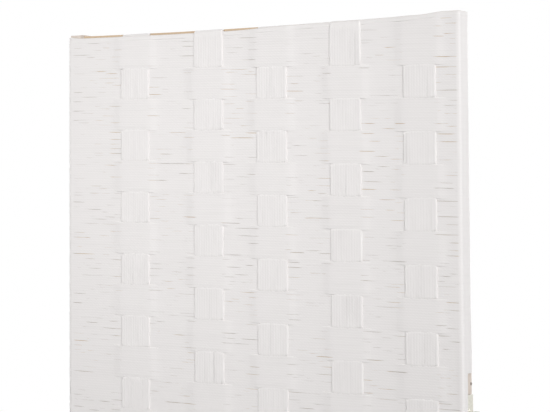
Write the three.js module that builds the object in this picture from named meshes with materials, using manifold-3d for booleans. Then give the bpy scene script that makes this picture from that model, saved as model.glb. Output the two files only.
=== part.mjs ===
// A folding screen of three hand-woven paper-cord panels, in millimetres, +Z up.
// Each panel is a slim wooden frame round a thin core board. Weft cords are wound round its two
// stiles, and five bands of warp cords loop over its two rails. The panels are joined by
// loose-pin butt hinges, and the outer edges carry hinge leaves too, for a further panel.
import * as THREE from 'three';
import { mergeVertices } from 'three/addons/utils/BufferGeometryUtils.js';
import Module from 'manifold-3d';

// ---- Driving dimensions ------------------------------------------------

const panelCount = 3;
const panelWidth = 440; // over the weft cords
const panelHeight = 1700; // from the floor to the stiles' top ends
const restAngle = 60; // degrees between neighbouring panels as the screen stands
const touchGap = 0.3; // between pieces that touch
const cutOver = 1; // how far a cut runs past the face that it opens

// Frame: square bars, with each rail tenoned into the two stiles.
const frameThickness = 16;
const stileWidth = 16;
const railHeight = 16;
const railSetDown = 1.2; // from the stiles' ends to the top rail's edge
const railBow = 2.4; // the pull of the bands draws each rail in this far at mid-span
const footHeight = 20; // of the stile ends under the bottom rail
const tenonLength = 10;
const tenonHeight = 10;
const tenonThickness = 6;

// Core board, let into a groove in each stile.
const boardThickness = 3;
const grooveDepth = 4;

// Cords. A sleeve is one layer of weft cords, and a band one layer of warp cords.
const cordDiameter = 2.4;
const sleeveCornerRadius = 4;
const bareRail = 2.2; // the rail's edge shows this far past the wefts
const bandWidth = 33;
const bandPlaces = [0.189, 0.3845, 0.547, 0.729, 0.905]; // shares of the width, from the left
const bandSeatDepth = 1.8; // of the seat that each band lies in, in the rail's edge
const bandCornerRadius = 0.6; // inside corner
const cornerSteps = 2; // each makes two facets of a cord corner

// Hinges, two on each edge.
const hingeFromEnd = 394; // from each end of the panel to the leaf's middle
const leafHeight = 80;
const leafThickness = 1.2;
const leafSetBack = 5.1; // from the stile's far face to the leaf's plain edge
const barrelRadius = 3.2;
const barrelSteps = 6; // each makes two facets of a knuckle
const pinRadius = 1.5;
const pinHeadRadius = 2.8;
const pinHeadHeight = 1.2;
const pinTip = 2; // of the pin past the barrel's foot
const pinSides = 12;
const pinClearance = 0.3;
const knuckleCount = 5;
const foldClearance = 1.2; // from a band's outer face to the fold axis
const bareSeat = 21; // wood left bare above and below each leaf
const padHeight = 2.2; // of the stile's raised seat, which the leaf is let into
const screwHoleRadius = 1.8;
const holeSides = 8;
const screwSpacing = 25;

// ---- Worked out from these ---------------------------------------------

const layer = touchGap + cordDiameter; // a layer of cords and the gap under it
const frameWidth = panelWidth - 2 * layer;
const frameHalf = frameThickness / 2;
const sleeveHalf = frameHalf + layer;
const railTop = panelHeight - railSetDown; // the top rail's edge, at its ends
const bandHalf = sleeveHalf + layer;
const openingHalf = frameWidth / 2 - stileWidth; // half of the opening between the stiles
const seatFloor = panelWidth / 2 - layer; // a stile's outer side, from the panel's middle
const padFace = seatFloor + padHeight; // level with the leaf's outer face
const seatHalf = leafHeight / 2 + bareSeat;
const axisOut = touchGap + barrelRadius - layer; // fold axis past the sleeve's side
const axisBack = bandHalf + foldClearance; // fold axis from the panel's middle plane
const hingeHeights = [panelHeight - hingeFromEnd, hingeFromEnd];
const hingeNames = ['upper', 'lower'];

// ---- Materials -----------------------------------------------------------

const wood = { color: 0xb08d66, roughness: 0.65, metalness: 0 };
const coreBoard = { color: 0xa9875f, roughness: 0.75, metalness: 0 };
const weftCord = { color: 0xe6e2e0, roughness: 0.85, metalness: 0 };
const warpCord = { color: 0xe9e6e5, roughness: 0.85, metalness: 0 };
const platedSteel = { color: 0xd6d9c8, roughness: 0.4, metalness: 0.8 };
const pinSteel = { color: 0xa8a9a2, roughness: 0.35, metalness: 0.9 };

// ---- Solids ----------------------------------------------------------------

const wasm = await Module();
wasm.setup();

function solidOf(geometry) {
  const bare = geometry.clone();
  bare.deleteAttribute('normal');
  bare.deleteAttribute('uv');
  const merged = mergeVertices(bare);
  return new wasm.Manifold(
    new wasm.Mesh({
      numProp: 3,
      vertProperties: new Float32Array(merged.attributes.position.array),
      triVerts: new Uint32Array(merged.index.array),
    }),
  );
}

function geometryOf(solid) {
  const mesh = solid.getMesh();
  const geometry = new THREE.BufferGeometry();
  geometry.setAttribute('position', new THREE.BufferAttribute(mesh.vertProperties, 3));
  geometry.setIndex(new THREE.BufferAttribute(mesh.triVerts, 1));
  const flat = geometry.toNonIndexed();
  flat.computeVertexNormals();
  return flat;
}

// The box between two corners.
function block(low, high) {
  const geometry = new THREE.BoxGeometry(high[0] - low[0], high[1] - low[1], high[2] - low[2]);
  return geometry.translate(
    (low[0] + high[0]) / 2,
    (low[1] + high[1]) / 2,
    (low[2] + high[2]) / 2,
  );
}

function blockSolid(low, high) {
  return solidOf(block(low, high));
}

// An outline in X and Z, as thick as given in Y, centred on the panel's middle plane.
function upright(shape, thickness) {
  const geometry = new THREE.ExtrudeGeometry(shape, { depth: thickness, bevelEnabled: false });
  return geometry.translate(0, 0, -thickness / 2).rotateX(Math.PI / 2);
}

function roundedRectangle(path, halfWidth, halfHeight, radius) {
  path.moveTo(halfWidth, radius - halfHeight);
  path.lineTo(halfWidth, halfHeight - radius);
  path.absarc(halfWidth - radius, halfHeight - radius, radius, 0, Math.PI / 2, false);
  path.lineTo(radius - halfWidth, halfHeight);
  path.absarc(radius - halfWidth, halfHeight - radius, radius, Math.PI / 2, Math.PI, false);
  path.lineTo(-halfWidth, radius - halfHeight);
  path.absarc(radius - halfWidth, radius - halfHeight, radius, Math.PI, 1.5 * Math.PI, false);
  path.lineTo(halfWidth - radius, -halfHeight);
  path.absarc(halfWidth - radius, radius - halfHeight, radius, 1.5 * Math.PI, 2 * Math.PI, false);
  return path;
}

function mesh(name, geometry, finish) {
  const made = new THREE.Mesh(geometry, new THREE.MeshStandardMaterial(finish));
  made.name = name;
  return made;
}

// ---- Rails ---------------------------------------------------------------

// How far a rail is drawn in towards the panel's middle, at a place across the panel.
function bowAt(x) {
  return railBow * (1 - (2 * x / frameWidth) ** 2);
}

const bandCentres = bandPlaces.map((place) => (place - 0.5) * panelWidth);
const bowSteps = 8; // along a whole rail
const seatSteps = 2; // between two band seats

// Points along a bowed edge from x0 to x1. The height is the edge's at the rail's ends.
function bowedEdge(x0, x1, height, inward, steps = bowSteps) {
  const points = [];
  for (let i = 0; i <= steps; i += 1) {
    const x = x0 + (x1 - x0) * i / steps;
    points.push(new THREE.Vector2(x, height + inward * bowAt(x)));
  }
  return points;
}

// A rail's outer edge, with a seat for each band.
function seatedEdge(half, height, inward) {
  const reach = bandWidth / 2 + touchGap;
  const points = [];
  let from = -half;
  for (const centre of bandCentres) {
    const floor = height + inward * (bowAt(centre) + bandSeatDepth);
    points.push(
      ...bowedEdge(from, centre - reach, height, inward, seatSteps),
      new THREE.Vector2(centre - reach, floor),
      new THREE.Vector2(centre + reach, floor),
    );
    from = centre + reach;
  }
  points.push(...bowedEdge(from, half, height, inward, seatSteps));
  return points;
}

// outerEdge is the height of the edge that the bands loop over, and inward is -1 on the top
// rail and +1 on the bottom rail.
function railGeometry(outerEdge, inward) {
  const half = openingHalf - touchGap;
  const innerEdge = outerEdge + inward * railHeight;
  const outline = seatedEdge(half, outerEdge, inward);
  outline.push(...bowedEdge(half, -half, innerEdge, inward));
  const middle = (outerEdge + innerEdge) / 2 + inward * bowAt(half);
  let rail = solidOf(upright(new THREE.Shape(outline), frameThickness));
  for (const side of [-1, 1]) {
    const inner = side * (half - touchGap);
    const outer = side * (openingHalf + tenonLength - touchGap);
    const tenon = blockSolid(
      [Math.min(inner, outer), -tenonThickness / 2, middle - tenonHeight / 2],
      [Math.max(inner, outer), tenonThickness / 2, middle + tenonHeight / 2],
    );
    rail = rail.add(tenon);
  }
  return geometryOf(rail);
}

// ---- Stiles and core board -------------------------------------------------

// The raised seat of a hinge, with a slot across it that the leaf lies in. Face is +1 where the
// barrel stands at the panel's back.
function seatPad(side, face, height) {
  const lip = face * (leafSetBack - frameHalf);
  const pad = (x0, x1, half) => blockSolid(
    [Math.min(side * x0, side * x1), Math.min(lip, face * frameHalf), height - half],
    [Math.max(side * x0, side * x1), Math.max(lip, face * frameHalf), height + half],
  );
  const slotFloor = padFace - leafThickness - touchGap;
  return pad(seatFloor - cutOver, padFace, seatHalf - touchGap)
    .subtract(pad(slotFloor, padFace + cutOver, leafHeight / 2 + touchGap));
}

function stileGeometry({ side, face }) {
  const innerFace = side * openingHalf;
  const outerFace = side * frameWidth / 2;
  let stile = blockSolid(
    [Math.min(innerFace, outerFace), -frameHalf, 0],
    [Math.max(innerFace, outerFace), frameHalf, panelHeight],
  );
  const middles = [
    railTop - railHeight / 2 - bowAt(openingHalf - touchGap),
    footHeight + railHeight / 2 + bowAt(openingHalf - touchGap),
  ];
  const mortiseEnd = side * (openingHalf + tenonLength);
  const openEnd = side * (openingHalf - cutOver);
  for (const middle of middles) {
    const mortise = blockSolid(
      [
        Math.min(openEnd, mortiseEnd),
        -tenonThickness / 2 - touchGap,
        middle - tenonHeight / 2 - touchGap,
      ],
      [
        Math.max(openEnd, mortiseEnd),
        tenonThickness / 2 + touchGap,
        middle + tenonHeight / 2 + touchGap,
      ],
    );
    stile = stile.subtract(mortise);
  }
  const grooveEnd = side * (openingHalf + grooveDepth);
  const groove = blockSolid(
    [Math.min(openEnd, grooveEnd), -boardThickness / 2 - touchGap, footHeight + railHeight],
    [Math.max(openEnd, grooveEnd), boardThickness / 2 + touchGap, railTop - railHeight],
  );
  stile = stile.subtract(groove);
  for (const height of hingeHeights) stile = stile.add(seatPad(side, face, height));
  return geometryOf(stile);
}

function boardGeometry() {
  const half = openingHalf + grooveDepth - touchGap;
  const bottom = footHeight + railHeight + touchGap;
  const top = railTop - railHeight - touchGap;
  const outline = [
    ...bowedEdge(-half, half, bottom, 1),
    ...bowedEdge(half, -half, top, -1),
  ];
  return upright(new THREE.Shape(outline), boardThickness);
}

// ---- Cords -----------------------------------------------------------------

// Where the sleeve is left open for a hinge leaf: side is -1 on the left edge, and face is +1
// where the barrel stands at the panel's back.
function seatOpening(side, face, height) {
  const frontLip = face * (leafSetBack - frameHalf - touchGap);
  const pastCorner = face * (sleeveHalf + cutOver);
  const inner = side * (seatFloor - touchGap);
  const outer = side * (panelWidth / 2 + cutOver);
  return blockSolid(
    [Math.min(inner, outer), Math.min(frontLip, pastCorner), height - seatHalf],
    [Math.max(inner, outer), Math.max(frontLip, pastCorner), height + seatHalf],
  );
}

// What lies past a bowed edge: above it if inward is -1, and below it if inward is +1.
function pastEdge(height, inward) {
  const half = panelWidth / 2 + cutOver;
  const far = height - inward * 2 * railHeight;
  const outline = bowedEdge(-half, half, height, inward);
  outline.push(new THREE.Vector2(half, far), new THREE.Vector2(-half, far));
  return solidOf(upright(new THREE.Shape(outline), 2 * (sleeveHalf + cutOver)));
}

function sleeveGeometry(edges) {
  const section = roundedRectangle(
    new THREE.Shape(), panelWidth / 2, sleeveHalf, sleeveCornerRadius,
  );
  section.holes.push(roundedRectangle(
    new THREE.Path(),
    panelWidth / 2 - cordDiameter,
    sleeveHalf - cordDiameter,
    touchGap,
  ));
  const bottom = footHeight + bareRail;
  const top = railTop - bareRail;
  const tube = new THREE.ExtrudeGeometry(section, {
    depth: top - bottom,
    curveSegments: cornerSteps,
    bevelEnabled: false,
  }).translate(0, 0, bottom);
  let sleeve = solidOf(tube).subtract(pastEdge(top, -1)).subtract(pastEdge(bottom, 1));
  for (const edge of edges) {
    for (const height of hingeHeights) {
      sleeve = sleeve.subtract(seatOpening(edge.side, edge.face, height));
    }
  }
  return geometryOf(sleeve);
}

// One band of warp cords, looped over the top rail and under the bottom rail.
function bandGeometry(centre) {
  const innerTop = railTop - bowAt(centre) - bandSeatDepth + touchGap;
  const innerBottom = footHeight + bowAt(centre) + bandSeatDepth - touchGap;
  const halfHeight = (innerTop - innerBottom) / 2;
  const section = roundedRectangle(
    new THREE.Shape(),
    bandHalf,
    halfHeight + cordDiameter,
    bandCornerRadius + cordDiameter,
  );
  section.holes.push(roundedRectangle(
    new THREE.Path(), bandHalf - cordDiameter, halfHeight, bandCornerRadius,
  ));
  const loop = new THREE.ExtrudeGeometry(section, {
    depth: bandWidth,
    curveSegments: cornerSteps,
    bevelEnabled: false,
  });
  // The section's own axes become Y and Z.
  return loop
    .translate(0, 0, -bandWidth / 2)
    .rotateY(Math.PI / 2)
    .rotateX(Math.PI / 2)
    .translate(centre, 0, (innerTop + innerBottom) / 2);
}

// ---- Hinges ------------------------------------------------------------------

const knuckleHeight = leafHeight / knuckleCount;

// The knuckles of a leaf, numbered from the foot of the barrel.
function knucklesOf(first) {
  const numbers = [];
  for (let i = first; i < knuckleCount; i += 2) numbers.push(i);
  return numbers;
}

// A knuckle's lower and upper end from the leaf's middle, clear of its neighbours.
function knuckleSpan(number) {
  const low = number * knuckleHeight - leafHeight / 2;
  return [
    number === 0 ? low : low + touchGap / 2,
    number === knuckleCount - 1 ? low + knuckleHeight : low + knuckleHeight - touchGap / 2,
  ];
}

// A leaf on an edge of a panel, with its barrel at the front (face -1) or the back (face +1).
function leafGeometry(side, face, height, first) {
  const plateOuter = padFace;
  const plateInner = plateOuter - leafThickness;
  const axisX = side * (panelWidth / 2 + axisOut);
  const axisY = face * axisBack;
  const plainEdge = face * (leafSetBack - frameHalf);
  const knuckleEdge = face * (axisBack - barrelRadius - 2 * touchGap);
  const strapEnd = face * (axisBack - pinRadius - pinClearance - touchGap);
  const screwLine = (plainEdge + face * frameHalf) / 2;
  const slab = (y0, y1, z0, z1) => blockSolid(
    [
      Math.min(side * plateInner, side * plateOuter),
      Math.min(y0, y1),
      height + z0,
    ],
    [
      Math.max(side * plateInner, side * plateOuter),
      Math.max(y0, y1),
      height + z1,
    ],
  );
  let leaf = slab(plainEdge, knuckleEdge, -leafHeight / 2, leafHeight / 2);
  const ring = new THREE.Shape();
  ring.absarc(0, 0, barrelRadius, 0, 2 * Math.PI, false);
  const bore = new THREE.Path();
  bore.absarc(0, 0, pinRadius + pinClearance, 0, 2 * Math.PI, true);
  ring.holes.push(bore);
  for (const number of knucklesOf(first)) {
    const [low, high] = knuckleSpan(number);
    const knuckle = solidOf(new THREE.ExtrudeGeometry(ring, {
      depth: high - low,
      curveSegments: barrelSteps,
      bevelEnabled: false,
    }).translate(axisX, axisY, height + low));
    leaf = leaf.add(slab(plainEdge, strapEnd, low, high)).add(knuckle);
  }
  for (let i = -1; i <= 1; i += 1) {
    const depth = leafThickness + 2 * cutOver;
    const hole = new THREE.CylinderGeometry(screwHoleRadius, screwHoleRadius, depth, holeSides)
      .rotateZ(Math.PI / 2)
      .translate(
        side * (plateInner + plateOuter) / 2, screwLine, height + i * screwSpacing,
      );
    leaf = leaf.subtract(solidOf(hole));
  }
  return geometryOf(leaf);
}

// A loose pin, dropped in from the top of the barrel.
function pinGeometry(side, face, height) {
  const foot = -leafHeight / 2 - pinTip;
  const shoulder = leafHeight / 2 + touchGap;
  const profile = [
    new THREE.Vector2(0, foot),
    new THREE.Vector2(pinRadius / 2, foot),
    new THREE.Vector2(pinRadius, foot + pinRadius / 2),
    new THREE.Vector2(pinRadius, shoulder),
    new THREE.Vector2(pinHeadRadius, shoulder),
    new THREE.Vector2(pinHeadRadius, shoulder + pinHeadHeight / 2),
    new THREE.Vector2(pinHeadRadius - pinHeadHeight / 2, shoulder + pinHeadHeight),
    new THREE.Vector2(0, shoulder + pinHeadHeight),
  ];
  return new THREE.LatheGeometry(profile, pinSides)
    .rotateX(Math.PI / 2)
    .translate(side * (panelWidth / 2 + axisOut), face * axisBack, height);
}

// ---- Panels --------------------------------------------------------------------

// The fold between panel n and panel n + 1 stands at panel n's left edge and panel n + 1's
// right edge. The first is at the back, and they alternate, so that the screen folds in a zigzag.
function foldFace(n) {
  return n % 2 === 1 ? 1 : -1;
}

function edgesOf(n) {
  return [
    { side: 1, face: n === 1 ? 1 : foldFace(n - 1) },
    { side: -1, face: n === panelCount ? 1 : foldFace(n) },
  ];
}

function panel(n) {
  const body = new THREE.Group();
  const prefix = `panel_${n}`;
  const edges = edgesOf(n);
  const add = (name, geometry, finish) => body.add(mesh(`${prefix}_${name}`, geometry, finish));
  const [right, left] = edges;
  add('stile_left', stileGeometry(left), wood);
  add('stile_right', stileGeometry(right), wood);
  add('rail_top', railGeometry(railTop, -1), wood);
  add('rail_bottom', railGeometry(footHeight, 1), wood);
  add('core_board', boardGeometry(), coreBoard);
  add('weft_sleeve', sleeveGeometry(edges), weftCord);
  bandCentres.forEach((centre, i) => {
    add(`warp_band_${i + 1}`, bandGeometry(centre), warpCord);
  });
  edges.forEach(({ side, face }) => {
    const where = side > 0 ? 'right' : 'left';
    hingeHeights.forEach((height, i) => {
      const first = side > 0 ? 1 : 0;
      add(
        `leaf_${where}_${hingeNames[i]}`,
        leafGeometry(side, face, height, first),
        platedSteel,
      );
      if (side < 0 && n < panelCount) {
        add(`hinge_pin_${hingeNames[i]}`, pinGeometry(side, face, height), pinSteel);
      }
    });
  });
  return body;
}

// Turns a body about the upright line at (x, y) in its parent, and sets its own point
// (fromX, fromY) on that line.
function hang(body, x, y, fromX, fromY, degrees) {
  const turn = degrees * Math.PI / 180;
  body.rotation.z = turn;
  body.position.set(
    x - fromX * Math.cos(turn) + fromY * Math.sin(turn),
    y - fromX * Math.sin(turn) - fromY * Math.cos(turn),
    0,
  );
  return body;
}

// ---- The screen ------------------------------------------------------------------

const foldReach = panelWidth / 2 + axisOut;
const first = panel(1);
let carrier = first;
for (let n = 2; n <= panelCount; n += 1) {
  const face = foldFace(n - 1);
  const next = panel(n);
  hang(next, -foldReach, face * axisBack, foldReach, face * axisBack, -face * (180 - restAngle));
  carrier.add(next);
  carrier = next;
}

// The origin is the middle of the whole screen's footprint, on the floor.
const screen = new THREE.Group();
screen.add(first);
screen.updateMatrixWorld(true);
const middle = new THREE.Box3().setFromObject(screen, true).getCenter(new THREE.Vector3());
first.position.set(-middle.x, -middle.y, 0);

export default screen;
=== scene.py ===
import math

import bpy
import numpy as np
from mathutils import Matrix, Vector


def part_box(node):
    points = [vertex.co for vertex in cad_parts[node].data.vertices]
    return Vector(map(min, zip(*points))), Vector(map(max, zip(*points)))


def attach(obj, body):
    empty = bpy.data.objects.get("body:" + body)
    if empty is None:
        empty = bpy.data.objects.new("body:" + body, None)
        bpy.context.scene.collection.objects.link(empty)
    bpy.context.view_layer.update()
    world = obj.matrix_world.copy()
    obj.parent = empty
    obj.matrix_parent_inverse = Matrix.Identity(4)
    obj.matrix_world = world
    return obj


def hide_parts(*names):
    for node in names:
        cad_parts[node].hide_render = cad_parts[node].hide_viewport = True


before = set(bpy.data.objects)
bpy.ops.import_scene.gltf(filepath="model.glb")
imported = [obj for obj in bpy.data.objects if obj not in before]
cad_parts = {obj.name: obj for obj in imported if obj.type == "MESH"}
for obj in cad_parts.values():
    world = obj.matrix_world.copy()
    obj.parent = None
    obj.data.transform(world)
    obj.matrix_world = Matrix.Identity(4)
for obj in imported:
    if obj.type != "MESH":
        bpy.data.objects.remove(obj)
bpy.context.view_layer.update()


# ---- The bar frames ---------------------------------------------------------------
# Each panel hangs on a slim frame of planed pine bars: two stiles that stand on the floor and
# two rails tenoned into them. The stiles are limewashed, and show in the hinge seats and as
# feet. The rails are bare, and show as a fine line along the top and the bottom.

MM = 0.001
PANELS = (1, 2, 3)
REST_ANGLE = 60.0

# A fold's axis, in mm: how far out from a panel's middle, and how far off its middle plane.
FOLD_REACH = 220.8
FOLD_BACK = 14.6


def linear(hex_colour):
    """An sRGB hex colour as linear RGBA."""
    parts = [int(hex_colour[i : i + 2], 16) / 255 for i in (1, 3, 5)]
    curved = [c / 12.92 if c <= 0.04045 else ((c + 0.055) / 1.055) ** 2.4 for c in parts]
    return (*curved, 1.0)


def new_material(name):
    """An empty node material and its tree."""
    material = bpy.data.materials.new(name)
    material.use_nodes = True
    material.node_tree.nodes.clear()
    return material, material.node_tree


def add(tree, kind, inputs=None, stops=(), **settings):
    """Adds a node. An input is a value or another node's output, and stops are the places and
    sRGB hex colours of a ramp."""
    node = tree.nodes.new(kind)
    for key, value in settings.items():
        setattr(node, key, value)
    for key, value in (inputs or {}).items():
        if isinstance(value, bpy.types.NodeSocket):
            tree.links.new(value, node.inputs[key])
        else:
            node.inputs[key].default_value = value
    for number, (place, colour) in enumerate(stops):
        elements = node.color_ramp.elements
        element = elements[number] if number < 2 else elements.new(place)
        element.position = place
        element.color = linear(colour)
    return node


def panel_place(number):
    """Where a panel stands at rest: the matrix from the first panel's frame to its own."""
    turn = math.radians(180 - REST_ANGLE)
    place = Matrix.Identity(4)
    for n in range(2, number + 1):
        face = 1 if n % 2 == 0 else -1
        hinge = Matrix.Translation((-FOLD_REACH * MM, face * FOLD_BACK * MM, 0))
        back = Matrix.Translation((-FOLD_REACH * MM, -face * FOLD_BACK * MM, 0))
        place = place @ hinge @ Matrix.Rotation(-face * turn, 4, "Z") @ back
    return place


first_low, first_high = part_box("panel_1_weft_sleeve")
first_middle = (first_low + first_high) / 2
first_place = Matrix.Translation((first_middle.x, first_middle.y, 0))
places = {n: first_place @ panel_place(n) for n in PANELS}


def planed_wood(name, grain, turn, tones):
    """Planed wood without varnish: matt, with its growth rings as faint streaks 3 mm apart
    and finer pores between them."""
    material, tree = new_material(name)
    coords = add(tree, "ShaderNodeTexCoord")
    turned = add(
        tree,
        "ShaderNodeMapping",
        {"Rotation": (0, 0, turn), "Vector": coords.outputs["Object"]},
    )
    ring_spacing, ring_length, pores_per_ring = 3.0, 110.0, 4.0
    across, along = 1 / (ring_spacing * MM), 1 / (ring_length * MM)
    stretch = (along, across, across) if grain == "level" else (across, across, along)
    streaks = add(
        tree,
        "ShaderNodeMapping",
        {"Scale": stretch, "Vector": turned.outputs["Vector"]},
    )
    rings = add(
        tree,
        "ShaderNodeTexNoise",
        {
            "Scale": 1.0,
            "Detail": 4.0,
            "Roughness": 0.55,
            "Distortion": 0.6,
            "Vector": streaks.outputs["Vector"],
        },
    )
    pores = add(
        tree,
        "ShaderNodeTexNoise",
        {
            "Scale": pores_per_ring,
            "Detail": 2.0,
            "Roughness": 0.6,
            "Vector": streaks.outputs["Vector"],
        },
    )
    tone_places = (0.3, 0.45, 0.6, 0.75)
    colour = add(
        tree,
        "ShaderNodeValToRGB",
        {"Fac": rings.outputs["Fac"]},
        stops=list(zip(tone_places, tones)),
    )
    bump = add(
        tree,
        "ShaderNodeBump",
        {"Strength": 0.25, "Distance": 0.2 * MM, "Height": pores.outputs["Fac"]},
    )
    shader = add(
        tree,
        "ShaderNodeBsdfPrincipled",
        {
            "Base Color": colour.outputs["Color"],
            "Roughness": 0.66,
            "Specular IOR Level": 0.3,
            "Normal": bump.outputs["Normal"],
        },
    )
    add(tree, "ShaderNodeOutputMaterial", {"Surface": shader.outputs["BSDF"]})
    return material


limewashed = ("#C6B6A6", "#D6CAC0", "#DCD2C9", "#CFC1B4")
bare = ("#B59A7C", "#C9AF92", "#D2BB9F", "#BEA283")
pine_stile = planed_wood("pine_limewashed", "upright", 0.0, limewashed)
for n in PANELS:
    pine_rail = planed_wood(f"pine_bare_{n}", "level", -places[n].to_euler().z, bare)
    for piece in ("stile_left", "stile_right"):
        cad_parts[f"panel_{n}_{piece}"].material_slots[0].material = pine_stile
    for piece in ("rail_top", "rail_bottom"):
        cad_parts[f"panel_{n}_{piece}"].material_slots[0].material = pine_rail


# ---- The core boards --------------------------------------------------------------
# A 3 mm plywood sheet fills each frame, let into grooves in the stiles. Its face veneers are
# bare, tan, and run upright.

veneer = ("#B58B5C", "#C79E6E", "#D0AC7D", "#C39A69")
plywood = planed_wood("plywood_bare", "upright", 0.0, veneer)
for n in PANELS:
    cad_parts[f"panel_{n}_core_board"].material_slots[0].material = plywood


# ---- The warp bands ---------------------------------------------------------------
# Five bands of twelve twisted paper cords run round each panel, over the top rail and under the
# bottom one. A band passes over one course of weft and under the next, as in a basket, and the
# cords are pressed flat against each other where they lie on top.

PANEL_WIDTH = 440.0
PANEL_HEIGHT = 1700.0
FRAME_HALF = 8.0
FOOT_HEIGHT = 20.0
RAIL_SET_DOWN = 1.2
RAIL_BOW = 2.4
RAIL_REACH = 217.3
CORD = 2.4
CROWN = CORD / 2

# Between the frame and the cords that lie on it.
SLACK = 0.3

# Half widths of a cord's section, as shares of the pitch: all of it, with a little overlap
# on the next cord, and its flattened crown.
CORD_EDGE = 0.53
CORD_FLAT = 0.28

# A cord lies on the frame, and stands out by the relief where it crosses over another.
LOW_LAYER = FRAME_HALF + SLACK + CROWN
RELIEF = 1.15

WARP_PLACES = (0.189, 0.3845, 0.547, 0.729, 0.905)
WARP_CENTRES = [(place - 0.5) * PANEL_WIDTH for place in WARP_PLACES]
WARP_WIDTH = 33.0
WARP_CORDS = 12
WARP_PITCH = WARP_WIDTH / WARP_CORDS
WARP_CREASE = 0.1

# How deep a cord is pressed into the rail's edge, the radius that it turns there, and where
# its straight runs end before it.
WARP_SEAT = 2.0
WARP_CORNER = 3.2
WARP_END = 6.0

# The hand's unevenness, with its knots to a course, how much closer the cords lie where they
# pass under, and half the height over which they dive.
WARP_SWAY = 0.09
WARP_LIFT = 0.07
WARP_KNOTS = 3
DRAWN_IN = 0.03
DIVE = 1.2

# A course of weft drops by half its height across a face. The first one's top edge starts
# at the left of the front.
COURSE = 31.0
COURSE_DROP = 15.5
FIRST_COURSE = 1665.2
COURSES = 56

# How much shorter each cord's shown run is at both ends of a crossing. The band's outer
# cords are the shortest, which rounds its corners.
INNER_TRIM = -1.1
NEXT_TRIM = -0.7
OUTER_TRIM = 0.2


def bow(x):
    """How far a rail's edge is drawn in towards the middle of the panel."""
    return RAIL_BOW * (1 - (x / RAIL_REACH) ** 2)


def smooth(t):
    """A smooth step from 0 to 1."""
    t = np.clip(t, 0, 1)
    return t * t * (3 - 2 * t)


def course_edge(number, x, face):
    """The height of the top edge of a course, on the front (face -1) or the back (face 1)."""
    across = (x + PANEL_WIDTH / 2) / PANEL_WIDTH
    drop = across if face < 0 else 2 - across
    return FIRST_COURSE - (number - 1) * COURSE - COURSE_DROP * drop


def ribbons(centre, normal, across, section, keep=...):
    """Vertices and quads of many cords at once. Each is a strip along its line, with a section
    of (sideways, outward) points, on the stretches that keep says or on all."""
    sideways, outward = np.array(section).T
    side = sideways[None, None, :, None] * across[:, :, None, :]
    rise = outward[None, None, :, None] * normal[:, :, None, :]
    ring = centre[:, :, None, :] + side + rise
    index = np.arange(ring[..., 0].size).reshape(ring.shape[:3])
    here, there = index[:, :-1], index[:, 1:]
    quads = np.stack(
        [here[..., :-1], there[..., :-1], there[..., 1:], here[..., 1:]],
        axis=-1,
    )
    quads = quads[keep].reshape(-1, 4)
    used, packed = np.unique(quads, return_inverse=True)
    return ring.reshape(-1, 3)[used], packed.reshape(-1, 4)


def mesh_piece(name, parts, n):
    """One smooth-shaded piece on panel n, from parts of (vertices in mm, quads, material)."""
    vertices = np.concatenate([part[0] for part in parts]) * MM
    starts = np.cumsum([0] + [len(part[0]) for part in parts[:-1]])
    quads = np.concatenate([part[1] + start for part, start in zip(parts, starts)])
    worn = list(dict.fromkeys(part[2] for part in parts))
    wears = np.concatenate([np.full(len(part[1]), worn.index(part[2])) for part in parts])
    mesh = bpy.data.meshes.new(name)
    mesh.vertices.add(len(vertices))
    mesh.vertices.foreach_set("co", vertices.astype(np.float32).ravel())
    mesh.loops.add(quads.size)
    mesh.loops.foreach_set("vertex_index", quads.astype(np.int32).ravel())
    mesh.polygons.add(len(quads))
    mesh.polygons.foreach_set("loop_start", np.arange(0, quads.size, 4, dtype=np.int32))
    mesh.update(calc_edges=True)
    for material in worn:
        mesh.materials.append(material)
    mesh.polygons.foreach_set("material_index", wears.astype(np.int32))
    mesh.polygons.foreach_set("use_smooth", np.ones(len(quads), dtype=bool))
    made = bpy.data.objects.new(name, mesh)
    bpy.context.scene.collection.objects.link(made)
    made.matrix_world = places[n]
    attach(made, f"panel_{n}")
    return made


def bleached_cord(name, runs, base, shade):
    """Kraft paper twisted into cord and bleached white: matt, each cord a little lighter or
    darker than the next, with the slanting ridges of its twist."""
    material, tree = new_material(name)
    coords = add(tree, "ShaderNodeTexCoord")
    tone_length, twist_slant = 70.0, math.radians(52)
    along, across = 1 / (tone_length * MM), 1 / (CORD * MM)
    stretch = (across, across, along) if runs == "upright" else (along, along, across)
    streaks = add(
        tree,
        "ShaderNodeMapping",
        {"Scale": stretch, "Vector": coords.outputs["Object"]},
    )
    tone = add(
        tree,
        "ShaderNodeTexNoise",
        {"Scale": 1.0, "Detail": 2.0, "Vector": streaks.outputs["Vector"]},
    )
    colour = add(
        tree,
        "ShaderNodeValToRGB",
        {"Fac": tone.outputs["Fac"]},
        stops=[(0.3, shade), (0.5, base)],
    )
    slanted = add(
        tree,
        "ShaderNodeMapping",
        {"Rotation": (0, twist_slant, 0), "Vector": coords.outputs["Object"]},
    )
    # The wave node's bands lie 0.314 over its scale apart.
    twist_pitch, wave_bands = 2.3, 0.314
    twist = add(
        tree,
        "ShaderNodeTexWave",
        {
            "Scale": wave_bands / (twist_pitch * MM),
            "Distortion": 2.2,
            "Detail": 2.0,
            "Detail Scale": 1.5,
            "Vector": slanted.outputs["Vector"],
        },
    )
    bump = add(
        tree,
        "ShaderNodeBump",
        {"Strength": 0.05, "Distance": 0.3 * MM, "Height": twist.outputs["Fac"]},
    )
    shader = add(
        tree,
        "ShaderNodeBsdfPrincipled",
        {
            "Base Color": colour.outputs["Color"],
            "Roughness": 0.6,
            "Specular IOR Level": 0.45,
            "Sheen Weight": 0.1,
            "Sheen Roughness": 0.5,
            "Normal": bump.outputs["Normal"],
        },
    )
    add(tree, "ShaderNodeOutputMaterial", {"Surface": shader.outputs["BSDF"]})
    return material


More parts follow.
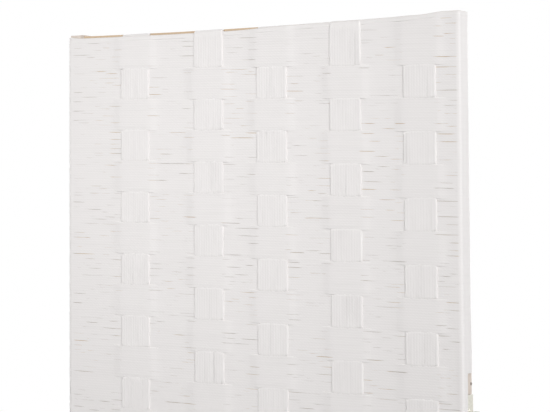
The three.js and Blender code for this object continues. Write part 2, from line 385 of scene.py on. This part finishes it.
warp_paper = bleached_cord("paper_cord_warp", "upright", "#E9E6E5", "#E6E3E2")


def warp_heights(x, face):
    """Heights of a warp cord's points on one face, upwards, close together at each crossing."""
    low = FOOT_HEIGHT + bow(x) + WARP_END
    high = PANEL_HEIGHT - RAIL_SET_DOWN - bow(x) - WARP_END
    steps = (-3.2, -1.8, -0.6, 0.6, 1.8, 3.2, COURSE / 2)
    heights = []
    for number in range(COURSES, -2, -1):
        edge = course_edge(number, x, face)
        heights += [edge + step for step in steps]
    return np.array([height for height in heights if low < height < high])


def warp_over(heights, x, face, band, trim):
    """1 where a warp cord lies over the weft, and 0 where it dives under it."""
    over = np.zeros(len(heights))
    for number in range(0, COURSES + 1):
        if (number + band) % 2 == 0:
            top = course_edge(number, x, face) if number > 0 else PANEL_HEIGHT + COURSE
            bottom = course_edge(number + 1, x, face)
            up = smooth((heights - bottom - trim + DIVE) / (2 * DIVE))
            down = smooth((top - trim + DIVE - heights) / (2 * DIVE))
            over = np.maximum(over, up * down)
    return over


def bend(y, z, angles):
    """Points and normals round a cord's corner, as rows of y, z, normal y and normal z."""
    turned = np.radians(angles)
    out_y, out_z = np.cos(turned), np.sin(turned)
    return np.stack([y + WARP_CORNER * out_y, z + WARP_CORNER * out_z, out_y, out_z], axis=-1)


def warp_line(x, band, trim):
    """One warp cord's line round the panel: y, z, normal y, normal z, and 1 where it is on top."""
    top = PANEL_HEIGHT - RAIL_SET_DOWN - bow(x) - WARP_SEAT + CROWN - WARP_CORNER
    bottom = FOOT_HEIGHT + bow(x) + WARP_SEAT - CROWN + WARP_CORNER
    angles = np.arange(15, 90, 15)
    runs = []
    for face in (-1, 1):
        heights = warp_heights(x, face)
        over = warp_over(heights, x, face, band, trim)
        y = face * (LOW_LAYER + RELIEF * over)
        level = np.zeros(len(heights))
        runs.append(np.stack([y, heights, level + face, level, over], axis=-1))
    front, back = runs
    bends = [
        bend(front[-1, 0] + WARP_CORNER, top, 180 - angles),
        bend(back[-1, 0] - WARP_CORNER, top, angles[::-1]),
        bend(back[0, 0] - WARP_CORNER, bottom, -angles),
        bend(front[0, 0] + WARP_CORNER, bottom, angles[::-1] - 180),
    ]
    bends = [np.pad(points, ((0, 0), (0, 1))) for points in bends]
    return np.concatenate([front, *bends[:2], back[::-1], *bends[2:], front[:1]])


def wander(chance, spread, count, stations, knot_count):
    """Slow random wander along each cord, closed so that it ends as it starts."""
    knots = np.linspace(0, stations - 1, knot_count)
    draws = chance.normal(0, spread, (count, knot_count))
    draws[:, -1] = draws[:, 0]
    return np.array([np.interp(np.arange(stations), knots, draw) for draw in draws])


def warp_band(n, band):
    """One band: its cords lie side by side, and are drawn together where they pass under."""
    chance = np.random.default_rng(1000 * n + band)
    middle = WARP_CENTRES[band - 1]
    offsets = (np.arange(WARP_CORDS) - (WARP_CORDS - 1) / 2) * WARP_PITCH
    trims = np.full(WARP_CORDS, INNER_TRIM)
    trims[[0, -1]] = OUTER_TRIM
    trims[[1, -2]] = NEXT_TRIM
    route = np.stack([warp_line(middle, band, trim) for trim in trims])
    y, z, out_y, out_z, over = np.moveaxis(route, -1, 0)
    sway = wander(chance, WARP_SWAY, *over.shape, WARP_KNOTS * COURSES)
    x = middle + offsets[:, None] * (1 - DRAWN_IN * (1 - over)) + sway
    lift = wander(chance, WARP_LIFT, *over.shape, WARP_KNOTS * COURSES) * over
    centre = np.stack([x, y + out_y * lift, z + out_z * lift], axis=-1)
    normal = np.stack([np.zeros_like(x), out_y, out_z], axis=-1)
    across = np.zeros_like(centre)
    across[..., 0] = -1
    edge = CORD_EDGE * WARP_PITCH
    flat = CORD_FLAT * WARP_PITCH
    crease = CROWN - WARP_CREASE
    inner = [(-edge, crease), (-flat, CROWN), (flat, CROWN), (edge, crease)]

    # The two outer cords are round towards the outside, down to the frame.
    round_side = [(0.4, CROWN - 0.02), (0.95, CROWN - 0.12), (1.3, CROWN - 0.36)]
    round_side += [(1.52, CROWN - 0.8), (1.62, CROWN - 1.4), (1.4, -CROWN)]
    left = inner[:2] + round_side
    right = [(-sideways, outward) for sideways, outward in left[::-1]]
    parts = []
    for chosen, section in ((slice(0, 1), left), (slice(1, -1), inner), (slice(-1, None), right)):
        skin = ribbons(centre[chosen], normal[chosen], across[chosen], section)
        parts.append((*skin, warp_paper))
    return parts


for n in PANELS:
    for band in range(1, len(WARP_CENTRES) + 1):
        made = mesh_piece(f"panel_{n}_warp_cords_{band}", warp_band(n, band), n)
        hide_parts(f"panel_{n}_warp_band_{band}")


# ---- The weft ---------------------------------------------------------------------
# Thirteen paper cords at a time are wound round and round each frame, so every course drops
# 31 mm a turn. They are pulled tight but by hand: here and there two of them part, and the
# unbleached paper inside the winding shows between them as a tan fleck.

COURSE_CORDS = 13
WEFT_PITCH = COURSE / COURSE_CORDS
WEFT_ROWS = COURSE_CORDS * (COURSES - 1)
SIDE_LAYER = PANEL_WIDTH / 2 - CROWN

# A cord turns tightly where it leaves a face, and softly where it comes onto the next one.
CORNER = 4.0
TIGHT_CORNER = 1.8

# The hinge seats: their middles, half their height, and how far past the panel's middle
# plane they go.
HINGE_HEIGHTS = (394.0, 1306.0)
SEAT_HALF = 61.0
SEAT_REACH = 3.2

# Each panel's weft is made in a few pieces, because one would be too large a mesh.
WEFT_PIECES = 5

weft_paper = bleached_cord("paper_cord_weft", "level", "#E8E5E4", "#E6E3E2")

# The upper side of the turn at the very top is a little darker.
edge_paper = bleached_cord("paper_cord_top_darker", "level", "#E0DCD9", "#DAD6D2")

# The same paper without its bleach, tan in patches. Its grey beige patches are painted shade of
# the gaps between cords.
kraft_and_gap_shade, tree = new_material("paper_cord_unbleached_and_gap_shade")
coords = add(tree, "ShaderNodeTexCoord")
fleck_spacing, pulp_size = 45.0, 2.0
patches = add(
    tree,
    "ShaderNodeTexNoise",
    {"Scale": 1 / (fleck_spacing * MM), "Detail": 1.0, "Vector": coords.outputs["Object"]},
)
# The grey beige stops are painted shade of the gaps; the tan stops are the paper's own colour.
colour = add(
    tree,
    "ShaderNodeValToRGB",
    {"Fac": patches.outputs["Fac"]},
    stops=[(0.42, "#B9B1A9"), (0.52, "#C2B5A6"), (0.59, "#CFB68F"), (0.7, "#C4A279")],
)
pulp = add(
    tree,
    "ShaderNodeTexNoise",
    {"Scale": 1 / (pulp_size * MM), "Detail": 3.0, "Vector": coords.outputs["Object"]},
)
bump = add(
    tree,
    "ShaderNodeBump",
    {"Strength": 0.2, "Distance": 0.2 * MM, "Height": pulp.outputs["Fac"]},
)
shader = add(
    tree,
    "ShaderNodeBsdfPrincipled",
    {
        "Base Color": colour.outputs["Color"],
        "Roughness": 0.85,
        "Specular IOR Level": 0.25,
        "Normal": bump.outputs["Normal"],
    },
)
add(tree, "ShaderNodeOutputMaterial", {"Surface": shader.outputs["BSDF"]})


def barrel_face(n, side):
    """1 where the hinge barrels on an edge stand at the panel's back, and -1 at its front."""
    if (n, side) in ((1, 1), (PANELS[-1], -1)):
        return 1
    towards_back = n % 2 == 0 if side > 0 else n % 2 == 1
    return 1 if towards_back else -1


def face_stations():
    """Places across a face where a weft cord has points: close together beside each band."""
    inner = SIDE_LAYER - CORNER
    least_gap, usual_gap = 1.5, 5.0
    marks = {-inner, inner}
    for middle in WARP_CENTRES:
        marks.add(middle)
        for reach in (11, 7, 3.5, 0.5, -4):
            marks |= {middle - WARP_WIDTH / 2 - reach, middle + WARP_WIDTH / 2 + reach}
    marks = sorted(mark for mark in marks if abs(mark) <= inner)
    stations = marks[:1]
    for mark in marks[1:]:
        start = stations[-1]
        gap = mark - start
        if gap < least_gap:
            continue
        middle = (mark + start) / 2
        in_band = min(abs(middle - centre) for centre in WARP_CENTRES) < WARP_WIDTH / 2
        steps = 1 if in_band else max(1, round(gap / usual_gap))
        stations += [start + gap * k / steps for k in range(1, steps + 1)]
    return np.array(stations)


def weft_turn():
    """Points along one turn of weft, from the left of the front: x, y, normal x, normal y, the
    face, and how far the turn has dropped in half turns."""
    xs = face_stations()
    level = np.zeros(len(xs))
    share = (xs + PANEL_WIDTH / 2) / PANEL_WIDTH
    front = np.stack([xs, level - LOW_LAYER, level, level - 1, level - 1, share], axis=-1)
    back = np.stack([xs, level + LOW_LAYER, level, level + 1, level + 1, 2 - share], axis=-1)
    edge = []
    for degrees in (-75, -45, -15, 15, 45, 75):
        turned = math.radians(degrees)
        out_x, out_y = math.cos(turned), math.sin(turned)
        corner = TIGHT_CORNER if degrees < 0 else CORNER
        x = SIDE_LAYER - corner + corner * out_x
        y = math.copysign(LOW_LAYER - corner, degrees) + corner * out_y
        edge.append((x, y, out_x, out_y, 0, 1))
    flank = 5.0
    edge[3:3] = [(SIDE_LAYER, y, 1, 0, 0, 1) for y in (-flank, -SEAT_REACH, SEAT_REACH, flank)]
    right = np.array(edge, dtype=float)
    left = right * (-1, -1, -1, -1, 1, 2)
    again = front[:1] + (0, 0, 0, 0, 0, 2)
    return np.concatenate([front, right, back[::-1], left, again])


# A weft cord rises over this run to a band that it crosses, and is up just before the band.
RISE_RUN = 10.5
RISE_END = 0.5


def weft_rise(x, face, course):
    """How far a weft cord is lifted off the frame: 1 where it crosses over a warp band."""
    lifted = np.zeros(np.broadcast(x, course).shape)
    for band, middle in enumerate(WARP_CENTRES, start=1):
        beyond = np.abs(x - middle) - WARP_WIDTH / 2
        near = 1 - smooth((beyond - RISE_END) / RISE_RUN)
        on_top = (course + band) % 2 != 0
        lifted = np.maximum(lifted, near * on_top * (face != 0))
    return lifted


# The weft's top edge: the bare line of the rail, how much of it the extra turns cover from
# the middle on, and how far under the stiles' ends the turns are heaped at the corners. At
# the left corner they are heaped less.
BARE_LINE = 2.1
COVERED_LINE = 1.9
COVER_START = -30.0
COVER_RUN = 90.0
UNDER_STILE_END = 0.3
LEFT_HEAP = 0.45
LEFT_HEAP_PLACE = -215.0
LEFT_HEAP_RUN = 9.0
RIGHT_HEAP_PLACE = 184.0
RIGHT_HEAP_RUN = 18.0
BOTTOM_LINE = 2.2


def weft_limits(x):
    """The heights of the weft's top and bottom edges. The top rail stays bare as a fine line
    left of the middle, and extra turns cover it on the right."""
    rail = PANEL_HEIGHT - RAIL_SET_DOWN - bow(x)
    left_corner = 1 - smooth((x - LEFT_HEAP_PLACE) / LEFT_HEAP_RUN)
    covered = smooth((x - COVER_START) / COVER_RUN)
    right_corner = smooth((x - RIGHT_HEAP_PLACE) / RIGHT_HEAP_RUN)
    top = rail - BARE_LINE + COVERED_LINE * covered
    heaped = np.maximum(LEFT_HEAP * left_corner, right_corner)
    top = top + (PANEL_HEIGHT - UNDER_STILE_END - top) * heaped
    return top, FOOT_HEIGHT + bow(x) + BOTTOM_LINE


# Kinds of gap between two cords: width in mm, clusters on a face, the most gaps in a cluster,
# and the furthest that a cord may end up from its place.
GAP_KINDS = ((0.3, 2500, 5, 0.3), (0.4, 900, 3, 0.3), (1.0, 70, 1, 0.6))

# Where the gaps end at the sides, and how much more often they lie at the right edge.
GAP_LEFT_END = -212.0
GAP_RIGHT_END = 217.0
RIGHT_EDGE_WEIGHT = 3.0

# Nearly half of the clusters lie right beside a band, and most of those on its left.
BESIDE_BAND_SHARE = 0.45
BESIDE_BAND_REACH = 6
LEFT_OF_BAND_SHARE = 0.6
GAP_HALF_LENGTHS = (5, 12)
GAP_SCATTER = 4
ROOM_SHARE = 0.55


def parted(chance, x, faces, count):
    """Sideways shifts of the weft cords at the gaps where two of them part. Gaps lie between
    the bands, often beside one, and most of all at the right edge."""
    shift = np.zeros((count, len(x)))
    edges = [GAP_LEFT_END]
    for middle in WARP_CENTRES:
        edges += [middle - WARP_WIDTH / 2, middle + WARP_WIDTH / 2]
    edges.append(GAP_RIGHT_END)
    fields = np.array(edges).reshape(-1, 2)
    weights = fields[:, 1] - fields[:, 0]
    weights[-1] *= RIGHT_EDGE_WEIGHT
    weights /= weights.sum()
    for face in (-1, 1):
        on_face = np.where(faces == face)[0]
        for size, clusters, most, limit in GAP_KINDS:
            for _ in range(clusters):
                low, high = fields[chance.choice(len(fields), p=weights)]
                middle = chance.uniform(low, high)
                if chance.random() < BESIDE_BAND_SHARE:
                    inset = chance.uniform(0, BESIDE_BAND_REACH)
                    on_left = chance.random() < LEFT_OF_BAND_SHARE
                    middle = high - inset if on_left else low + inset
                row = chance.integers(3, count - 16)
                for _ in range(chance.integers(1, most + 1)):
                    # Two courses are beaten together, and don't part.
                    row += (row + 1) % COURSE_CORDS == 0
                    half = chance.uniform(*GAP_HALF_LENGTHS)
                    place = middle + chance.normal(0, GAP_SCATTER)
                    place = np.clip(place, low + 0.7 * half, high - 0.7 * half)
                    opening = size * chance.uniform(0.7, 1.2)
                    swell = smooth(2.2 * (1 - np.abs(x[on_face] - place) / half))

                    # Three cords on each side make room, the further ones less.
                    for away in range(3):
                        part = opening / 2 * ROOM_SHARE**away
                        shift[row - away, on_face] += part * swell
                        shift[row + 1 + away, on_face] -= part * swell
                    row += chance.integers(1, 4)
            shift = np.clip(shift, -limit, limit)
    return shift


# Along the right edge, the winding is heaped up towards each seat, to lie flush with it.
SEAT_HEAP = 0.7
SEAT_HEAP_RUN = 70.0


def round_seats(n, x, y, z):
    """How far the weft is heaped at the hinge seats, and where it is cut open for them."""
    heaped = np.zeros_like(z)
    cut = np.zeros(z.shape, dtype=bool)
    on_right_edge = (x > SIDE_LAYER - 1.5)[None, :]
    for height in HINGE_HEIGHTS:
        near = 1 - smooth((np.abs(z - height) - SEAT_HALF) / SEAT_HEAP_RUN)
        heaped += SEAT_HEAP * near * on_right_edge
        for side in (-1, 1):
            seat_face = barrel_face(n, side)
            on_edge = side * x > SIDE_LAYER - CORNER - 0.1
            on_seat = on_edge & (seat_face * y > 0.1 - SEAT_REACH)
            cut |= (np.abs(z - height) < SEAT_HALF) & on_seat[None, :]
    return heaped, cut


# Two level turns hold the slanting cords' ends, which go on under them for a short way.
EDGE_CORDS = 2
END_OVERLAP = 0.4
HIDDEN_END = 6.0
PRESSED_UNDER = 0.12

# The hand's unevenness, and a course's first and last cords, which stand out a little less.
WEFT_SWAY = 0.025
WEFT_LIFT = 0.03
WEFT_KNOTS = 24
COURSE_EDGE_RISE = 0.9

# How deep the creases between cords are, half the width and the depth of the paper strip in
# a gap, and the share of the rise from which a cord counts as lifted.
WEFT_CREASE = 0.035
FLECK_HALF = 0.9
FLECK_DEPTH = 0.25
LIFTED = 0.02


def weft_cords(n):
    """All the weft of a panel, in batches from the top down: its cords' crowns, the sides of
    those that stand proud at a crossing, and the unbleached paper in the gaps, whose grey patches
    are painted shade."""
    chance = np.random.default_rng(77 + n)
    x, y, out_x, out_y, face, half_turns = weft_turn().T
    rows = np.arange(-COURSE_CORDS, WEFT_ROWS)
    count = len(rows)
    start = FIRST_COURSE + COURSE - (rows + 0.5) * WEFT_PITCH
    z = start[:, None] - COURSE_DROP * half_turns[None, :]
    course = np.floor_divide(rows, COURSE_CORDS)[:, None] + np.zeros_like(z)
    course[(course < 0) & (face[None, :] <= 0)] = 0
    lift = weft_rise(x[None, :], face[None, :], course)
    sway = wander(chance, WEFT_SWAY, count, len(x), WEFT_KNOTS)
    z = z + sway + parted(chance, x, face, count)
    within = rows % COURSE_CORDS
    first, last = within == 0, within == COURSE_CORDS - 1
    rise = RELIEF * np.where(first | last, COURSE_EDGE_RISE, 1.0)
    out = rise[:, None] * lift + wander(chance, WEFT_LIFT, count, len(x), WEFT_KNOTS)

    # A turn ends where the one a course further down begins.
    z[:-COURSE_CORDS, -1] = z[COURSE_CORDS:, 0]
    out[:-COURSE_CORDS, -1] = out[COURSE_CORDS:, 0]

    # The slanting cords end under the level turns at the top and the bottom.
    top, bottom = weft_limits(x)
    high = top[None, :] - EDGE_CORDS * CORD + END_OVERLAP
    low = bottom[None, :] + EDGE_CORDS * CORD - END_OVERLAP
    outside = (z > high + HIDDEN_END) | (z < low - HIDDEN_END)
    out = out - PRESSED_UNDER * ((z > high) | (z < low))
    z = np.clip(z, low, high)
    heaped, cut = round_seats(n, x, y, z)
    out = out + heaped
    outside |= cut
    keep = ~(outside[:, :-1] | outside[:, 1:])

    centre = np.stack([x + out_x * out, y + out_y * out, z], axis=-1)
    normal = np.broadcast_to(np.stack([out_x, out_y, out_x * 0], axis=-1), centre.shape)
    across = np.zeros_like(centre)
    across[..., 2] = 1
    edge = CORD_EDGE * WEFT_PITCH
    flat = CORD_FLAT * WEFT_PITCH
    crease = CROWN - WEFT_CREASE
    crown = [(-edge, crease), (-flat, CROWN), (flat, CROWN), (edge, crease)]
    upper_side = [(edge, crease), (edge + 0.15, CROWN - 0.6), (edge, CROWN - RELIEF - 0.8)]
    lower_side = [(-sideways, outward) for sideways, outward in upper_side[::-1]]
    proud = keep & ((lift[:, :-1] > LIFTED) | (lift[:, 1:] > LIFTED))

    # A strip of unbleached paper lies just under the crowns wherever two cords have parted. Its
    # grey patches are painted shade of the gap.
    fleck_floor = [(-FLECK_HALF, CROWN - FLECK_DEPTH), (FLECK_HALF, CROWN - FLECK_DEPTH)]
    under = (centre[:-1] + centre[1:]) / 2
    spaces = z[:-1] - z[1:] - 2 * edge
    spaces[np.abs(lift[:-1] - lift[1:]) > LIFTED] = 0
    opening = np.maximum(spaces[:, :-1], spaces[:, 1:])
    open_here = keep[:-1] & keep[1:] & (opening > 0)

    pieces = []
    for batch in np.array_split(np.arange(count), WEFT_PIECES):
        parts = []
        for chosen, section, shown in (
            (batch, crown, keep),
            (batch[first[batch]], upper_side, proud),
            (batch[last[batch]], lower_side, proud),
        ):
            skin = ribbons(centre[chosen], normal[chosen], across[chosen], section, shown[chosen])
            parts.append((*skin, weft_paper))
        gaps = batch[batch < count - 1]
        strip = ribbons(under[gaps], normal[gaps], across[gaps], fleck_floor, open_here[gaps])
        parts.append((*strip, kraft_and_gap_shade))
        pieces.append(parts)
    return pieces


def edge_cords():
    """The level turns at the top and bottom that hold the slanting cords' ends. The outermost
    is pressed round the edge of the rail."""
    x, y, out_x, out_y, face, _ = weft_turn().T
    top, bottom = weft_limits(x)
    flat = CORD_FLAT * CORD

    # Sections of the outermost turn's face, of its side that is turned over the rail, and of
    # the turn beside it.
    face_of_cord = [(-1.27, CROWN - 0.1), (-flat, CROWN), (0.5, CROWN)]
    turned_over = [(0.5, CROWN), (0.95, CROWN - 0.2), (1.2, CROWN - 0.6), (1.2, CROWN - 1.1)]
    turned_over += [(0.8, CROWN - 1.8), (0.0, CROWN - 2.2)]
    inner_cord = [(-1.2, CROWN - 0.6), (-1.25, CROWN - 0.12), (-flat, CROWN), (flat, CROWN)]
    inner_cord += [(1.27, CROWN - 0.1)]
    normal = np.stack([out_x, out_y, out_x * 0], axis=-1)[None]
    across = np.zeros_like(normal)
    across[..., 2] = 1
    parts = []
    for end, course, up in ((top, 0, 1), (bottom, COURSES - 2, -1)):
        out = RELIEF * weft_rise(x, face, np.full(len(x), course))
        for k, section, material in (
            (0, face_of_cord, weft_paper),
            (0, turned_over, edge_paper if up > 0 else weft_paper),
            (1, inner_cord, weft_paper),
        ):
            z = end - up * CORD * (k + 0.5)
            centre = np.stack([x + out_x * out, y + out_y * out, z], axis=-1)[None]
            shaped = [(up * sideways, outward) for sideways, outward in section[::up]]
            parts.append((*ribbons(centre, normal, across, shaped), material))
    return parts


for n in PANELS:
    for number, parts in enumerate(weft_cords(n), start=1):
        made = mesh_piece(f"panel_{n}_weft_cords_{number}", parts, n)
        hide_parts(f"panel_{n}_weft_sleeve")
    mesh_piece(f"panel_{n}_weft_edge_cords", edge_cords(), n)


# ---- The hinges -------------------------------------------------------------------
# Pressed steel butt hinges, zinc plated and passivated to a pale warm grey, with loose pins.
# Each leaf is let into its seat on the stile's side.

zinc, tree = new_material("steel_zinc_plated")
coords = add(tree, "ShaderNodeTexCoord")
spangle_size = 2.4
spangle = add(
    tree,
    "ShaderNodeTexNoise",
    {"Scale": 1 / (spangle_size * MM), "Detail": 3.0, "Vector": coords.outputs["Object"]},
)
colour = add(
    tree,
    "ShaderNodeValToRGB",
    {"Fac": spangle.outputs["Fac"]},
    stops=[(0.3, "#CFCDC1"), (0.55, "#DBD9CE"), (0.8, "#E5E3DA")],
)
bump = add(
    tree,
    "ShaderNodeBump",
    {"Strength": 0.1, "Distance": 0.1 * MM, "Height": spangle.outputs["Fac"]},
)
shader = add(
    tree,
    "ShaderNodeBsdfPrincipled",
    {
        "Base Color": colour.outputs["Color"],
        "Metallic": 0.85,
        "Roughness": 0.42,
        "Normal": bump.outputs["Normal"],
    },
)
add(tree, "ShaderNodeOutputMaterial", {"Surface": shader.outputs["BSDF"]})

# Drawn steel wire: bright, with fine scores along it.
pin_steel, tree = new_material("steel_pin_drawn")
coords = add(tree, "ShaderNodeTexCoord")
score_spacing, score_length = 1.1, 17.0
drawn = add(
    tree,
    "ShaderNodeMapping",
    {
        "Scale": (1 / (score_spacing * MM), 1 / (score_spacing * MM), 1 / (score_length * MM)),
        "Vector": coords.outputs["Object"],
    },
)
scores = add(
    tree,
    "ShaderNodeTexNoise",
    {"Scale": 1.0, "Detail": 2.0, "Vector": drawn.outputs["Vector"]},
)
colour = add(
    tree,
    "ShaderNodeValToRGB",
    {"Fac": scores.outputs["Fac"]},
    stops=[(0.3, "#A3A49C"), (0.7, "#C6C7C0")],
)
shader = add(
    tree,
    "ShaderNodeBsdfPrincipled",
    {"Base Color": colour.outputs["Color"], "Metallic": 1.0, "Roughness": 0.34},
)
add(tree, "ShaderNodeOutputMaterial", {"Surface": shader.outputs["BSDF"]})

for node_name, node_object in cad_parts.items():
    if "_leaf_" in node_name:
        node_object.material_slots[0].material = zinc
    if "_hinge_pin_" in node_name:
        node_object.material_slots[0].material = pin_steel


# ---- Screws and tacks -------------------------------------------------------------
# Three cross-head wood screws hold each leaf. Above and below it, a small blued tack on the
# seat holds the weft turns that stop there.

# Out from the panel's middle plane and middle line, and up and down from a hinge's middle.
LEAF_FACE = 219.5
SCREW_SPACING = 25.0
SCREW_LINE = 2.55
SCREW_HEAD = 2.7
SCREW_RISE = 0.9
TACK_PLACE = 50.0
TACK_LINE = 6.6
TACK_HEAD = 1.5
TACK_RISE = 0.7

# Blued steel, worn to a dull grey brown.
blued_steel, tree = new_material("steel_tack_blued")
coords = add(tree, "ShaderNodeTexCoord")
tarnish_size = 1.1
tarnish = add(
    tree,
    "ShaderNodeTexNoise",
    {"Scale": 1 / (tarnish_size * MM), "Detail": 3.0, "Vector": coords.outputs["Object"]},
)
colour = add(
    tree,
    "ShaderNodeValToRGB",
    {"Fac": tarnish.outputs["Fac"]},
    stops=[(0.3, "#5F5750"), (0.7, "#94897F")],
)
shader = add(
    tree,
    "ShaderNodeBsdfPrincipled",
    {"Base Color": colour.outputs["Color"], "Metallic": 0.8, "Roughness": 0.5},
)
add(tree, "ShaderNodeOutputMaterial", {"Surface": shader.outputs["BSDF"]})


def domed_head(x, y, z, side, radius, height, recess):
    """A low dome on the side of a stile, with a cross recess if asked."""
    rings = [(1.0, 0.0), (1.0, 0.28), (0.86, 0.6), (0.6, 0.88), (0.28, 1.0), (0.0, 1.0)]
    turns = np.radians(np.arange(0, 360, 15))
    arm_half_width, arm_reach, arm_depth = 0.28, 0.65, 0.55
    vertices = []
    for reach, rise in rings:
        for turn in turns:
            in_arm = min(abs(math.sin(turn)), abs(math.cos(turn))) < arm_half_width
            sunk = arm_depth if recess and reach < arm_reach and in_arm else 0.0
            out = (rise - sunk) * height
            level, upright = reach * radius * math.cos(turn), reach * radius * math.sin(turn)
            vertices.append((x + side * out, y + level, z + upright))
    quads = []
    count = len(turns)
    for ring in range(len(rings) - 1):
        for k in range(count):
            this, following = ring * count + k, ring * count + (k + 1) % count
            quad = (this, following, following + count, this + count)
            quads.append(quad if side > 0 else quad[::-1])
    return np.array(vertices), np.array(quads)


for n in PANELS:
    screws = []
    tacks = []
    for side in (-1, 1):
        face = barrel_face(n, side)
        for height in HINGE_HEIGHTS:
            for k in (-1, 0, 1):
                at = (side * LEAF_FACE, face * SCREW_LINE, height + k * SCREW_SPACING)
                screws.append((*domed_head(*at, side, SCREW_HEAD, SCREW_RISE, True), zinc))
            for k in (-1, 1):
                at = (side * LEAF_FACE, face * TACK_LINE, height + k * TACK_PLACE)
                tacks.append((*domed_head(*at, side, TACK_HEAD, TACK_RISE, False), blued_steel))
    mesh_piece(f"panel_{n}_leaf_screws", screws, n)
    mesh_piece(f"panel_{n}_seat_tacks", tacks, n)


# ---- Floor, light and camera ------------------------------------------------------
# A pale painted floor that fades to white, soft light from all round, mostly from the right in
# front, and a long lens at the height of the first panel's top, which is all that it sees.

FLOOR_HALF = 7.0
FLOOR_GAP = 0.5

# In metres from the middle. A start below zero lets the floor be partly white there already.
FADE_START = -0.6
FADE_END = 2.2
floor_corners = [(-1, -1), (1, -1), (1, 1), (-1, 1)]
floor_mesh = bpy.data.meshes.new("studio_floor")
floor_mesh.from_pydata(
    [(FLOOR_HALF * x, FLOOR_HALF * y, 0) for x, y in floor_corners],
    [],
    [(0, 1, 2, 3)],
)
floor = bpy.data.objects.new("studio_floor", floor_mesh)
bpy.context.scene.collection.objects.link(floor)
floor.location.z = -FLOOR_GAP * MM


def seen_directly(tree):
    """1 for what the camera sees, also in a mirror or through glass, and 0 for other light."""
    ray = add(tree, "ShaderNodeLightPath")
    direct = add(
        tree,
        "ShaderNodeMath",
        {0: ray.outputs["Is Camera Ray"], 1: ray.outputs["Is Glossy Ray"]},
        operation="ADD",
    )
    shown = add(
        tree,
        "ShaderNodeMath",
        {0: direct.outputs["Value"], 1: ray.outputs["Is Transmission Ray"]},
        operation="ADD",
        use_clamp=True,
    )
    return shown.outputs["Value"]


# Matt wall paint, which fades to plain white away from the object.
paint, tree = new_material("floor_white_paint")
floor_mesh.materials.append(paint)
coords = add(tree, "ShaderNodeTexCoord")
distance = add(
    tree,
    "ShaderNodeVectorMath",
    {0: coords.outputs["Object"]},
    operation="LENGTH",
)
far = add(
    tree,
    "ShaderNodeMapRange",
    {"From Min": FADE_START, "From Max": FADE_END, "Value": distance.outputs["Value"]},
    interpolation_type="SMOOTHSTEP",
)
near_paint = add(
    tree,
    "ShaderNodeBsdfPrincipled",
    {"Base Color": linear("#F4F4F4"), "Roughness": 0.9, "Specular IOR Level": 0.1},
)
far_white = add(tree, "ShaderNodeEmission", {"Color": (1, 1, 1, 1), "Strength": 1.0})
fade = add(
    tree,
    "ShaderNodeMath",
    {0: seen_directly(tree), 1: far.outputs["Result"]},
    operation="MULTIPLY",
)
faded = add(
    tree,
    "ShaderNodeMixShader",
    {0: fade.outputs["Value"], 1: near_paint.outputs["BSDF"], 2: far_white.outputs["Emission"]},
)
add(tree, "ShaderNodeOutputMaterial", {"Surface": faded.outputs["Shader"]})

world = bpy.data.worlds.new("studio")
bpy.context.scene.world = world
world.use_nodes = True
tree = world.node_tree
tree.nodes.clear()
ambient = add(
    tree,
    "ShaderNodeBackground",
    {"Color": (1.0, 0.995, 0.99, 1), "Strength": 0.37},
)
plain_white = add(tree, "ShaderNodeBackground", {"Color": (1, 1, 1, 1), "Strength": 1.0})
sky = add(
    tree,
    "ShaderNodeMixShader",
    {
        0: seen_directly(tree),
        1: ambient.outputs["Background"],
        2: plain_white.outputs["Background"],
    },
)
add(tree, "ShaderNodeOutputWorld", {"Surface": sky.outputs["Shader"]})


def softbox(name, place, target, size, spread, power, tint):
    """A square area light that looks at a point. A grid on its face narrows its spread."""
    light = bpy.data.lights.new(name, "AREA")
    light.shape = "SQUARE"
    light.size = size
    light.energy = power
    light.color = linear(tint)[:3]
    light.spread = math.radians(spread)
    lamp = bpy.data.objects.new(name, light)
    bpy.context.scene.collection.objects.link(lamp)
    away = Vector(place) - Vector(target)
    turned = away.to_track_quat("Z", "Y").to_matrix().to_4x4()
    lamp.matrix_world = Matrix.Translation(place) @ turned


softbox("front_grid", (-0.3, -1.6, 1.9), (0.0, -0.2, 1.56), 0.6, 50, 0.85, "#FFFFFF")
softbox("right_high", (1.9, -1.45, 2.4), (0.3, -0.2, 1.6), 0.8, 180, 24.0, "#FFFFFF")
softbox("side_right", (3.0, -0.3, 2.3), (0.3, -0.2, 1.4), 1.2, 180, 14.5, "#FBFDFF")
softbox("side_left", (-3.0, 0.1, 2.2), (-0.3, 0.0, 1.2), 0.8, 180, 20.0, "#FFFFFF")
softbox("back_fill", (0.5, 3.0, 2.4), (0.0, 0.0, 1.0), 1.6, 180, 31.0, "#FFFFFF")

# The lens: its focal length and the place of its axis in the picture, in pixels.
IMAGE_WIDTH = 550
IMAGE_HEIGHT = 412
FOCAL_PIXELS = 1975.0
CENTRE_X = 277.7
CENTRE_Y = 141.5
CAMERA_PLACE = (1.0762, -1.8903, 1.4924)
CAMERA_TURNS = (29.093, 2.754, -0.354)
camera_data = bpy.data.cameras.new("camera")
camera_data.sensor_width = 36.0
camera_data.sensor_fit = "HORIZONTAL"
camera_data.lens = FOCAL_PIXELS * camera_data.sensor_width / IMAGE_WIDTH
camera_data.shift_x = (IMAGE_WIDTH / 2 - CENTRE_X) / IMAGE_WIDTH
camera_data.shift_y = (CENTRE_Y - IMAGE_HEIGHT / 2) / IMAGE_WIDTH
camera_data.clip_start = 0.1
camera_data.clip_end = 60.0
camera = bpy.data.objects.new("camera", camera_data)
bpy.context.scene.collection.objects.link(camera)
bpy.context.scene.camera = camera
yaw, pitch, roll = (math.radians(degrees) for degrees in CAMERA_TURNS)
camera.matrix_world = (
    Matrix.Translation(CAMERA_PLACE)
    @ Matrix.Rotation(yaw, 4, "Z")
    @ Matrix.Rotation(math.radians(90) + pitch, 4, "X")
    @ Matrix.Rotation(roll, 4, "Z")
)

bpy.context.scene.view_settings.view_transform = "Standard"
